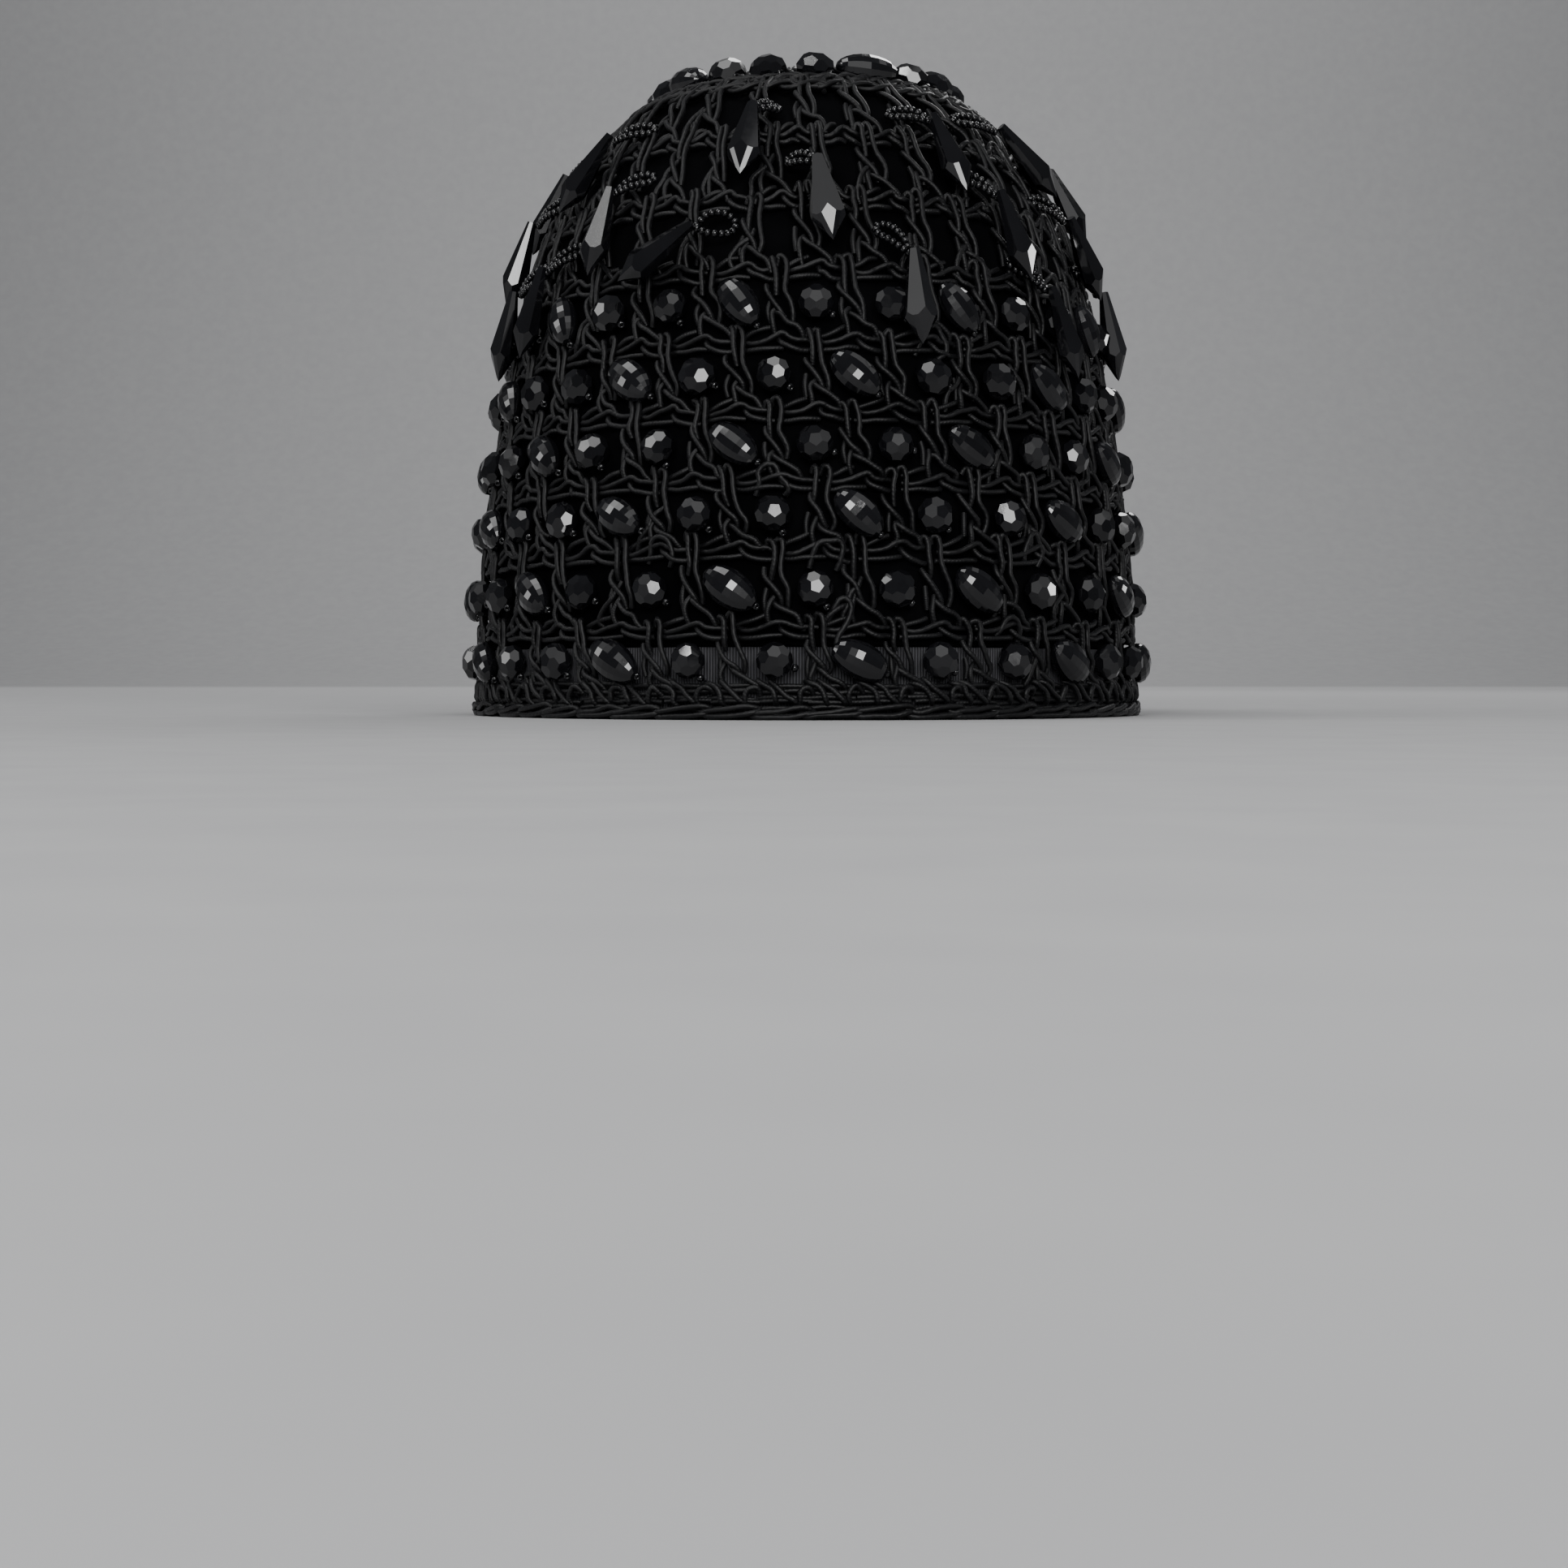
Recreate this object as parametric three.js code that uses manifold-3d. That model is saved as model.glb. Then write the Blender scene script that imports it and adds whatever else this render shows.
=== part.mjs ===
// A tall cocktail hat: a dome of black velvet on a grosgrain headband, an open net of black
// crochet cord over it, faceted jet beads sewn in the net's windows, and three rounds of long
// faceted drops hanging over the upper net.
// Millimetres and degrees. The rim stands on the ground at Z = 0, the front faces -Y and the
// wearer's left side faces +X. Angles round the hat start at the front and grow towards +X.

import * as THREE from "three";
import { mergeVertices } from "three/addons/utils/BufferGeometryUtils.js";
import Module from "manifold-3d";

const wasm = await Module();
wasm.setup();

// The outer face of the crochet: half its width and half its depth at each height
const CROWN = [
  { height: 0, halfWidth: 86.4, halfDepth: 101.5 },
  { height: 20, halfWidth: 86, halfDepth: 101 },
  { height: 38, halfWidth: 84.8, halfDepth: 99.3 },
  { height: 58, halfWidth: 82.5, halfDepth: 96.2 },
  { height: 80, halfWidth: 79, halfDepth: 91.5 },
  { height: 101, halfWidth: 75.2, halfDepth: 86.3 },
  { height: 122.6, halfWidth: 68.5, halfDepth: 77.5 },
  { height: 133, halfWidth: 63, halfDepth: 70.8 },
  { height: 143.6, halfWidth: 56, halfDepth: 62.4 },
  { height: 154.5, halfWidth: 44.8, halfDepth: 49.2 },
  { height: 160, halfWidth: 33.5, halfDepth: 36.5 },
  { height: 163.5, halfWidth: 21, halfDepth: 22.6 },
  { height: 165.5, halfWidth: 0, halfDepth: 0 },
];
const UPRIGHT_BELOW = 21; // the wall has no slope below this height

// Depths below the outer face of the crochet
const FIT = 0.3; // between two layers that are sewn together
const NET = { thickness: 2, borderThickness: 2.5, foot: 0.5, strip: 2.6 };
const THREAD = { top: NET.thickness + FIT, thickness: 0.6, height: 1.2, heart: 0.25 };
const SHELL = { depth: THREAD.top + THREAD.thickness + FIT, wall: 1.5 };
const BAND = { height: 16.4, wall: 2 };

// The rounds of windows, from the rim up: the height of the ring of stitches under and over
// each, the window openings that the net is cut through with, evenly round the hat, and the
// straight lengths that a post between two of them is made of
const ROUNDS = [
  { name: "a", under: 6.2, over: 20.5, openings: 15, firstPost: 1.2, bends: 1 },
  { name: "b", under: 20.5, over: 38.3, openings: 15, firstPost: -4.8, bends: 1 },
  { name: "c", under: 38.3, over: 54.1, openings: 15, firstPost: 1.2, bends: 1 },
  { name: "d", under: 54.1, over: 69.8, openings: 15, firstPost: -4.8, bends: 1 },
  { name: "e", under: 69.8, over: 86, openings: 15, firstPost: 1.2, bends: 1 },
  { name: "f", under: 86, over: 103, openings: 10, firstPost: 7.4, bends: 1 },
  { name: "g", under: 103, over: 120.5, openings: 10, firstPost: -17, bends: 1 },
  { name: "h", under: 120.5, over: 137.8, openings: 10, firstPost: -17, bends: 1 },
  { name: "i", under: 137.8, over: 155, openings: 10, firstPost: -17, bends: 1 },
  { name: "top", under: 155, over: 161.2, openings: 5, firstPost: 58, bends: 2 },
];
const POST_WIDTH = 4.2;
const WIDEST_STEP = 12.1; // an arc of the net is split into steps no wider than this
const FLATS = 30; // flats round the shell, the headband and the threads

// The rows of beads: the large oval ones, their angle round the hat and their slope
const OVAL = { length: 13, width: 9, height: 6.6, table: 0.5, girdle: 0.4, sides: 10 };
const BEAD_ROWS = [
  { round: "a", ovals: 10, first: 7.4, slope: 35 },
  { round: "b", ovals: 10, first: -10.6, slope: 36 },
  { round: "c", ovals: 10, first: 7.4, slope: 33 },
  { round: "d", ovals: 10, first: -10.6, slope: 32 },
  { round: "e", ovals: 10, first: 7.4, slope: 42 },
  { round: "f", ovals: 10, first: -10.6, slope: 55 },
  { round: "top", ovals: 5, first: 22, slope: 12 },
];

// The drops, in three staggered tiers. Each hangs from its top, at an angle round the hat and a
// height, and its tip sways some degrees further round than the top. The tip lies on the net
// unless it has a lift, the distance that it stands off.
const DROP = { length: 22.5, width: 8.2, thickness: 6, neck: 0.36, widestAt: 0.72, tip: 0.12 };
const DROPS = [
  { at: -46, top: 139, sway: -9 },
  { at: -11, top: 142, sway: -0.5 },
  { at: 27, top: 140.5, sway: 2.5 },
  { at: 48, top: 141.5, sway: 13 },
  { at: 86, top: 139, sway: -3 },
  { at: 122, top: 138, sway: 4, lift: 4 },
  { at: 158, top: 138.6, sway: -5 },
  { at: 194, top: 138.5, sway: 2, lift: 4.5 },
  { at: 229, top: 139, sway: 6 },
  { at: 268, top: 139.5, sway: -2 },
  { at: -75, top: 124, sway: -3 },
  { at: -38, top: 124, sway: -1 },
  { at: 1.8, top: 127.5, sway: 2.5 },
  { at: 37, top: 123, sway: 3.5 },
  { at: 61, top: 121.6, sway: 9 },
  { at: 104, top: 124, sway: 2 },
  { at: 140, top: 123, sway: -4 },
  { at: 175, top: 125, sway: 3 },
  { at: 212, top: 123.5, sway: -6 },
  { at: 247, top: 124.5, sway: 1 },
  { at: -67.5, top: 105, sway: -1 },
  { at: -53, top: 108, sway: -4 },
  { at: -18, top: 112, sway: -14 },
  { at: 17, top: 106, sway: 0.5 },
  { at: 45, top: 101.5, sway: 5 },
  { at: 73.5, top: 106, sway: 1 },
  { at: 115, top: 105, sway: 1 },
  { at: 151, top: 107, sway: -2 },
  { at: 187, top: 104, sway: -1 },
  { at: 224, top: 105, sway: 3 },
  { at: 259, top: 106, sway: -3 },
];

const FINISH = {
  velvet: { color: 0x0a0a0c, roughness: 1, metalness: 0 },
  ribbon: { color: 0x2a2a2e, roughness: 0.85, metalness: 0 },
  cord: { color: 0x1b1b20, roughness: 0.45, metalness: 0 },
  jet: { color: 0x050507, roughness: 0.08, metalness: 0 },
};

// The form of the hat

const profile = new THREE.CatmullRomCurve3(
  CROWN.map(({ height, halfWidth, halfDepth }) => new THREE.Vector3(halfWidth, halfDepth, height)),
);
profile.arcLengthDivisions = 2000;
const SLANT = profile.getLength();

// How far up the slanted wall a height lies, from 0 at the rim to 1 at the top
function levelAt(height) {
  let low = 0;
  let high = 1;
  while (high - low > 1e-6) {
    const middle = (low + high) / 2;
    if (profile.getPointAt(middle).z < height) low = middle;
    else high = middle;
  }
  return low;
}

// Equal steps of an angle round the hat become nearly equal steps along the oval rim
function evenly(degrees) {
  const { halfWidth, halfDepth } = CROWN[0];
  const stretch = (halfDepth - halfWidth) / (halfDepth + halfWidth) / 2;
  const even = THREE.MathUtils.degToRad(degrees);
  return even + stretch * Math.sin(2 * even);
}

// A place on the crown: its point, set out from the crochet's outer face, and the directions
// along the hat, up it and out of it
function place(degrees, level, out) {
  const section = profile.getPointAt(level);
  const climb = profile.getTangentAt(level);
  const angle = evenly(degrees);
  const sin = Math.sin(angle);
  const cos = Math.cos(angle);
  const along = new THREE.Vector3(section.x * cos, section.y * sin, 0);
  if (along.length() < 1e-6) along.set(cos, sin, 0);
  const up = new THREE.Vector3(climb.x * sin, -climb.y * cos, climb.z);
  const outward = new THREE.Vector3().crossVectors(along, up);
  if (section.z < UPRIGHT_BELOW) outward.z = 0;
  if (level > 0.9999) outward.set(0, 0, 1);
  outward.normalize();
  along.normalize();
  up.crossVectors(outward, along);
  const point = new THREE.Vector3(section.x * sin, -section.y * cos, section.z);
  return { point: point.addScaledVector(outward, out), along, up, outward };
}

// Meshes from loops of points

const spread = (count, first = 0) =>
  Array.from({ length: count }, (_, i) => first + (360 / count) * i);

// A loop round the hat, one point for each angle, starting at the smallest angle
function loopRound(angles, level, out) {
  return angles
    .map((degrees) => ((degrees % 360) + 360) % 360)
    .sort((a, b) => a - b)
    .map((degrees) => ({ degrees, point: place(degrees, level, out).point }));
}

// The faces of one body, gathered triangle by triangle
class Faces {
  positions = [];

  triangle(a, b, c) {
    for (const { x, y, z } of [a, b, c]) this.positions.push(x, y, z);
  }

  quad(a, b, c, d) {
    this.triangle(a, b, c);
    this.triangle(a, c, d);
  }

  // A band between two loops, facing outwards where the second lies above the first
  band(lower, upper) {
    let i = 0;
    let j = 0;
    const angle = (loop, k) => loop[k % loop.length].degrees + 360 * Math.floor(k / loop.length);
    const point = (loop, k) => loop[k % loop.length].point;
    while (i < lower.length || j < upper.length) {
      const lowerNext = i < lower.length ? angle(lower, i + 1) : Infinity;
      const upperNext = j < upper.length ? angle(upper, j + 1) : Infinity;
      if (lowerNext <= upperNext) {
        this.triangle(point(lower, i), point(lower, i + 1), point(upper, j));
        i += 1;
      } else {
        this.triangle(point(lower, i), point(upper, j + 1), point(upper, j));
        j += 1;
      }
    }
  }

  // The closed top of a loop, seen from outside
  crownTop(loop, top) {
    loop.forEach(({ point }, i) => this.triangle(point, loop[(i + 1) % loop.length].point, top));
  }

  geometry() {
    const made = new THREE.BufferGeometry();
    made.setAttribute("position", new THREE.Float32BufferAttribute(this.positions, 3));
    made.computeVertexNormals();
    return made;
  }
}

// The velvet dome: a thin wall, open at the bottom where it meets the headband
function shellGeometry() {
  const heights = [BAND.height + FIT, 54, 86, 112, 131, 146, 156];
  const angles = spread(FLATS);
  const faces = new Faces();
  const outer = heights.map((height) => loopRound(angles, levelAt(height), -SHELL.depth));
  const inner = heights.map((height) =>
    loopRound(angles, levelAt(height), -SHELL.depth - SHELL.wall),
  );
  for (let i = 1; i < heights.length; i += 1) {
    faces.band(outer[i - 1], outer[i]);
    faces.band(inner[i], inner[i - 1]);
  }
  faces.band(inner[0], outer[0]);
  faces.crownTop(outer.at(-1), place(0, 1, -SHELL.depth).point);
  const ceiling = place(0, 1, -SHELL.depth - SHELL.wall).point;
  inner.at(-1).forEach(({ point }, i, loop) => {
    faces.triangle(loop[(i + 1) % loop.length].point, point, ceiling);
  });
  return faces.geometry();
}

// The headband: a doubled ribbon, flat at its foot, that carries the shell edge to edge
function headbandGeometry() {
  const angles = spread(FLATS);
  const faces = new Faces();
  const [outerFoot, outerTop, innerTop, innerFoot] = [
    [0, -SHELL.depth],
    [BAND.height, -SHELL.depth],
    [BAND.height, -SHELL.depth - BAND.wall],
    [0, -SHELL.depth - BAND.wall],
  ].map(([height, out]) => loopRound(angles, levelAt(height), out));
  faces.band(outerFoot, outerTop);
  faces.band(outerTop, innerTop);
  faces.band(innerTop, innerFoot);
  faces.band(innerFoot, outerFoot);
  return faces.geometry();
}

// The two edges of each post of a round, in degrees
function posts({ openings, firstPost, under, over }) {
  const middle = profile.getPointAt((levelAt(under) + levelAt(over)) / 2);
  const half = THREE.MathUtils.radToDeg(POST_WIDTH / (middle.x + middle.y));
  return spread(openings, firstPost).map((at) => ({ left: at - half, right: at + half }));
}

// The angles of all points on a round's upper and lower edge, window by window
function windows(round) {
  const edges = posts(round);
  const pitch = 360 / round.openings;
  return edges.map(({ left, right }) => {
    const span = left + pitch - right;
    const steps = Math.ceil(span / WIDEST_STEP);
    return Array.from({ length: steps + 1 }, (_, i) => right + (span / steps) * i);
  });
}

// The crochet net: a ring of stitches between every two rounds, posts from ring to ring, a
// close border at the rim and a close disc at the top
function netGeometry() {
  const faces = new Faces();
  const halfStrip = NET.strip / 2 / SLANT;
  let below = {
    angles: windows(ROUNDS[0]).flat(),
    level: levelAt(NET.foot),
    depth: NET.borderThickness,
  };
  const sides = ({ angles, level, depth }) => ({
    outer: loopRound(angles, level, 0),
    inner: loopRound(angles, level, -depth),
  });
  const foot = sides(below);
  faces.band(foot.inner, foot.outer);
  for (const round of ROUNDS) {
    const openings = windows(round);
    const depth = round === ROUNDS[0] ? NET.borderThickness : NET.thickness;
    const sill = { angles: openings.flat(), level: levelAt(round.under) + halfStrip, depth };
    const lintel = {
      angles: openings.flat(),
      level: levelAt(round.over) - halfStrip,
      depth: NET.thickness,
    };
    faces.band(sides(below).outer, sides(sill).outer);
    faces.band(sides(sill).inner, sides(below).inner);
    const at = (degrees, edge, out) => place(degrees, edge.level, out).point;
    for (const points of openings) {
      for (let i = 1; i < points.length; i += 1) {
        const [from, to] = [points[i - 1], points[i]];
        faces.quad(
          at(from, sill, 0), at(to, sill, 0), at(to, sill, -sill.depth), at(from, sill, -sill.depth),
        );
        faces.quad(
          at(to, lintel, 0), at(from, lintel, 0),
          at(from, lintel, -lintel.depth), at(to, lintel, -lintel.depth),
        );
      }
    }
    const rungs = Array.from({ length: round.bends + 1 }, (_, i) => ({
      level: THREE.MathUtils.lerp(sill.level, lintel.level, i / round.bends),
      depth: THREE.MathUtils.lerp(sill.depth, lintel.depth, i / round.bends),
    }));
    for (const { left, right } of posts(round)) {
      for (let i = 1; i < rungs.length; i += 1) {
        const [foot, head] = [rungs[i - 1], rungs[i]];
        const corners = ({ level, depth }) => [
          place(left, level, 0).point,
          place(right, level, 0).point,
          place(right, level, -depth).point,
          place(left, level, -depth).point,
        ];
        const [low, high] = [corners(foot), corners(head)];
        low.forEach((corner, k) => {
          const next = (k + 1) % low.length;
          faces.quad(corner, low[next], high[next], high[k]);
        });
      }
    }
    below = lintel;
  }
  const disc = { angles: spread(12), level: below.level + 4 * halfStrip, depth: NET.thickness };
  faces.band(sides(below).outer, sides(disc).outer);
  faces.band(sides(disc).inner, sides(below).inner);
  faces.crownTop(sides(disc).outer, place(0, 1, 0).point);
  sides(disc).inner.forEach(({ point }, i, loop) => {
    faces.triangle(loop[(i + 1) % loop.length].point, point, place(0, 1, -NET.thickness).point);
  });
  return faces.geometry();
}

// One solid from a geometry, and back
function solidOf(geometry) {
  const bare = geometry.clone();
  bare.deleteAttribute("normal");
  const merged = mergeVertices(bare, 1e-3);
  return new wasm.Manifold(
    new wasm.Mesh({
      numProp: 3,
      vertProperties: merged.attributes.position.array,
      triVerts: new Uint32Array(merged.index.array),
    }),
  );
}

function geometryOf(solid) {
  const { vertProperties, triVerts } = solid.getMesh();
  const made = new THREE.BufferGeometry();
  made.setAttribute("position", new THREE.BufferAttribute(vertProperties, 3));
  made.setIndex(new THREE.BufferAttribute(triVerts, 1));
  made.computeVertexNormals();
  return made;
}

// A faceted oval bead: its point lies in the heart of the thread, under the girdle and the table
function ovalGeometry(degrees, level, slope) {
  const depth = THREAD.top + THREAD.thickness - THREAD.heart;
  const flat = degrees / (360 / FLATS);
  const [before, after] = [Math.floor(flat), Math.ceil(flat)].map(
    (corner) => place((360 / FLATS) * corner, level, -depth).point,
  );
  const point = before.lerp(after, flat - Math.floor(flat));
  const { along, up, outward } = place(degrees, level, -depth);
  const turn = THREE.MathUtils.degToRad(slope);
  const long = along.clone().multiplyScalar(Math.cos(turn)).addScaledVector(up, -Math.sin(turn));
  const short = new THREE.Vector3().crossVectors(outward, long);
  const ring = (scale, height) =>
    Array.from({ length: OVAL.sides }, (_, i) => {
      const angle = (2 * Math.PI * (i + 0.5)) / OVAL.sides;
      return point
        .clone()
        .addScaledVector(long, (OVAL.length / 2) * scale * Math.cos(angle))
        .addScaledVector(short, (OVAL.width / 2) * scale * Math.sin(angle))
        .addScaledVector(outward, height);
    });
  return stackGeometry([
    [point],
    ring(1, OVAL.height * OVAL.girdle),
    ring(OVAL.table, OVAL.height),
  ]);
}

// A closed body from rings of equal count, each end closed flat unless it is a single point
function stackGeometry(rings) {
  const faces = new Faces();
  const count = Math.max(...rings.map((ring) => ring.length));
  for (let k = 1; k < rings.length; k += 1) {
    const [low, high] = [rings[k - 1], rings[k]];
    for (let i = 0; i < count; i += 1) {
      const next = (i + 1) % count;
      if (low.length === 1) faces.triangle(low[0], high[next], high[i]);
      else if (high.length === 1) faces.triangle(low[i], low[next], high[0]);
      else faces.quad(low[i], low[next], high[next], high[i]);
    }
  }
  for (const end of [rings[0].toReversed(), rings.at(-1)]) {
    for (let i = 2; i < end.length; i += 1) faces.triangle(end[0], end[i - 1], end[i]);
  }
  return faces.geometry();
}

// A row of beads on its thread, which lies on the shell all round
function beadRowGeometry({ round, ovals, first, slope }) {
  const { under, over } = ROUNDS.find(({ name }) => name === round);
  const level = (levelAt(under) + levelAt(over)) / 2;
  const half = THREAD.height / 2 / SLANT;
  const angles = spread(FLATS);
  const thread = new Faces();
  const [foot, top, ridge] = [
    [level - half, -THREAD.top - THREAD.thickness],
    [level + half, -THREAD.top - THREAD.thickness],
    [level, -THREAD.top],
  ].map(([at, out]) => loopRound(angles, at, out));
  thread.band(foot, ridge);
  thread.band(ridge, top);
  thread.band(top, foot);
  const row = spread(ovals, first)
    .map((degrees) => solidOf(ovalGeometry(degrees, level, slope)))
    .reduce((joined, bead) => joined.add(bead), solidOf(thread.geometry()));
  return geometryOf(row);
}

// How far up the wall the tip of a drop lies, so that the drop has its full length
function tipLevel(head, degrees, top) {
  let low = 0;
  let high = top;
  while (high - low > 1e-6) {
    const middle = (low + high) / 2;
    if (place(degrees, middle, 0).point.distanceTo(head) > DROP.length) low = middle;
    else high = middle;
  }
  return low;
}

// A long drop: eight flats from a narrow neck to the widest part, then a short faceted point.
// Its flat back lies on the net at the tip and clears the bulge of the crown above it, or it
// lies on the net at the neck and its tip stands off.
function dropGeometry({ at, top, sway, lift }) {
  const upper = levelAt(top);
  const lower = tipLevel(place(at, upper, 0).point, at + sway, upper);
  const chord = place(at, upper, 0).point.lerp(place(at + sway, lower, 0).point, 0.5);
  const { point, outward } = place(at + sway / 2, (upper + lower) / 2, 0);
  const bulge = point.sub(chord).dot(outward);
  const head = place(at, upper, lift ? FIT : 2 * bulge + FIT);
  const foot = place(at + sway, lower, lift ?? FIT);
  const length = foot.point.clone().sub(head.point);
  const out = head.outward.clone().add(foot.outward).normalize();
  const side = new THREE.Vector3().crossVectors(out, length).normalize();
  out.crossVectors(length, side).normalize();
  const section = [
    [-0.25, 0], [0.25, 0], [0.5, 0.3], [0.5, 0.62], [0.27, 1], [-0.27, 1], [-0.5, 0.62], [-0.5, 0.3],
  ];
  const ring = (share, scale) =>
    section.map(([x, y]) =>
      head.point
        .clone()
        .addScaledVector(length, share)
        .addScaledVector(side, x * scale * DROP.width)
        .addScaledVector(out, y * scale * DROP.thickness),
    );
  const tip = foot.point.clone().addScaledVector(out, DROP.tip * DROP.thickness);
  return stackGeometry([ring(0, DROP.neck), ring(DROP.widestAt, 1), [tip]]);
}

const materials = Object.fromEntries(
  Object.entries(FINISH).map(([name, look]) => [name, new THREE.MeshStandardMaterial(look)]),
);

function piece(name, geometry, material) {
  const mesh = new THREE.Mesh(geometry, material);
  mesh.name = name;
  return mesh;
}

const hat = new THREE.Group();
hat.name = "church_hat";
hat.add(
  piece("shell", shellGeometry(), materials.velvet),
  piece("headband", headbandGeometry(), materials.ribbon),
  piece("crochet_net", netGeometry(), materials.cord),
);
for (const row of BEAD_ROWS) {
  hat.add(piece(`beads_${row.round}`, beadRowGeometry(row), materials.jet));
}
DROPS.forEach((drop, i) => {
  hat.add(piece(`drop_${String(i + 1).padStart(2, "0")}`, dropGeometry(drop), materials.jet));
});

export default hat;
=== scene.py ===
# A tall cocktail hat. A dome of black velvet stands on a grosgrain headband, an open net of black
# crochet cord is drawn over both, faceted jet beads are sewn in the net's windows, and three
# tiers of long faceted drops hang from loops of seed beads over the upper net.
# Metres and degrees. Angles round the hat start at the front (-Y) and grow towards +X.

import math
import random

import bmesh
import bpy
import numpy as np
from mathutils import Matrix, Vector


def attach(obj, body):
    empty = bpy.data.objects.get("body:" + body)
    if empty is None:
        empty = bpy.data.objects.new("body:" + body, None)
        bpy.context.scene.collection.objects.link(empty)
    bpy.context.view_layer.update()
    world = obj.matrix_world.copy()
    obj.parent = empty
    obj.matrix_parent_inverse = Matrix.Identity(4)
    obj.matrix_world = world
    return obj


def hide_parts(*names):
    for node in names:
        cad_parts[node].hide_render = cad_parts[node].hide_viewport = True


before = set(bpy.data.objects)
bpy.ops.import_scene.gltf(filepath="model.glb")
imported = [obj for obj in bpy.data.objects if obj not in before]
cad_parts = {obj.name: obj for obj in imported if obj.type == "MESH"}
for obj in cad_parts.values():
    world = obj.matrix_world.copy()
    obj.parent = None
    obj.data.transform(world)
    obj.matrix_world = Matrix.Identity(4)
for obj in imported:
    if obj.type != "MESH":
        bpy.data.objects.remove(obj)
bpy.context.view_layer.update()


# Velvet dome
# A stiff dome covered with close black silk velvet. Its pile swallows the light, so it shows as
# plain black through the windows of the net. The cloth is turned in at the lower edge.

# The outer face of the crochet: half its width and half its depth, and the height there
CROWN = [
    (0.0864, 0.1015, 0.0),
    (0.0860, 0.1010, 0.0200),
    (0.0848, 0.0993, 0.0380),
    (0.0825, 0.0962, 0.0580),
    (0.0790, 0.0915, 0.0800),
    (0.0752, 0.0863, 0.1010),
    (0.0685, 0.0775, 0.1226),
    (0.0630, 0.0708, 0.1330),
    (0.0560, 0.0624, 0.1436),
    (0.0448, 0.0492, 0.1545),
    (0.0335, 0.0365, 0.1600),
    (0.0210, 0.0226, 0.1635),
    (0.0, 0.0, 0.1655),
]
# The wall has no slope below this height
UPRIGHT_BELOW = 0.021
# How deep the velvet lies under the crochet's outer face
SHELL_DEPTH = 0.0032
SHELL_WALL = 0.0015
SHELL_ROWS = 40
SHELL_STEPS = 96
BAND_HEIGHT = 0.0164
# The gap between two layers that are sewn together
FIT = 0.0003


def crown_samples(steps=200):
    """Half width, half depth and height along the slanted wall, as a smooth curve through CROWN."""
    points = np.array(CROWN)
    ends = [2 * points[:1] - points[1:2], points, 2 * points[-1:] - points[-2:-1]]
    points = np.concatenate(ends)
    knots = np.linalg.norm(np.diff(points, axis=0), axis=1) ** 0.5
    rows = []
    for i in range(1, len(points) - 2):
        p0, p1, p2, p3 = points[i - 1 : i + 3]
        k0, k1, k2 = knots[i - 1 : i + 2]
        start = k1 * ((p1 - p0) / k0 - (p2 - p0) / (k0 + k1) + (p2 - p1) / k1)
        end = k1 * ((p2 - p1) / k1 - (p3 - p1) / (k1 + k2) + (p3 - p2) / k2)
        t = np.linspace(0, 1, steps, endpoint=False)[:, None]
        rows.append(
            p1
            + start * t
            + (3 * (p2 - p1) - 2 * start - end) * t**2
            + (2 * (p1 - p2) + start + end) * t**3
        )
    rows.append(points[-2:-1])
    return np.concatenate(rows)


SECTIONS = crown_samples()
RUN = np.concatenate([[0], np.cumsum(np.linalg.norm(np.diff(SECTIONS, axis=0), axis=1))])
SLANT = RUN[-1]
CLIMBS = np.gradient(SECTIONS, RUN, axis=0)
CLIMBS[-1, 2] = 0


def level_at(height):
    """How far up the slanted wall a height lies, from 0 at the rim to 1 at the top."""
    return float(np.interp(height, SECTIONS[:, 2], RUN) / SLANT)


def place(degrees, level, out):
    """Points on the crown, set out from the crochet's outer face, with the directions there."""
    degrees, level, out = np.broadcast_arrays(
        np.atleast_1d(np.asarray(degrees, float)), level, out
    )
    run = np.clip(level, 0, 1) * SLANT
    wide, deep, high = (np.interp(run, RUN, SECTIONS[:, i]) for i in range(3))
    climb_wide, climb_deep, climb_high = (np.interp(run, RUN, CLIMBS[:, i]) for i in range(3))
    stretch = (CROWN[0][1] - CROWN[0][0]) / (CROWN[0][1] + CROWN[0][0]) / 2
    even = np.radians(degrees)
    angle = even + stretch * np.sin(2 * even)
    sin, cos = np.sin(angle), np.cos(angle)
    at_top = wide < 1e-6
    along = np.stack(
        [np.where(at_top, cos, wide * cos), np.where(at_top, sin, deep * sin), 0 * cos], -1
    )
    up = np.stack([climb_wide * sin, -climb_deep * cos, climb_high], -1)
    outward = np.cross(along, up)
    outward[..., 2] = np.where(high < UPRIGHT_BELOW, 0, outward[..., 2])
    outward = np.where((level > 0.9999)[..., None], [0.0, 0.0, 1.0], outward)
    outward /= np.linalg.norm(outward, axis=-1, keepdims=True)
    along /= np.linalg.norm(along, axis=-1, keepdims=True)
    up = np.cross(outward, along)
    points = np.stack([wide * sin, -deep * cos, high], -1) + outward * out[..., None]
    return points, along, up, outward


def show(name, data, material, slot, *nodes):
    """Puts one piece in the scene, on the hat's only body."""
    piece = bpy.data.objects.new(name, data)
    bpy.context.scene.collection.objects.link(piece)
    data.materials.append(material)
    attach(piece, "root")
    if nodes:
        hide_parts(*nodes)


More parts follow.
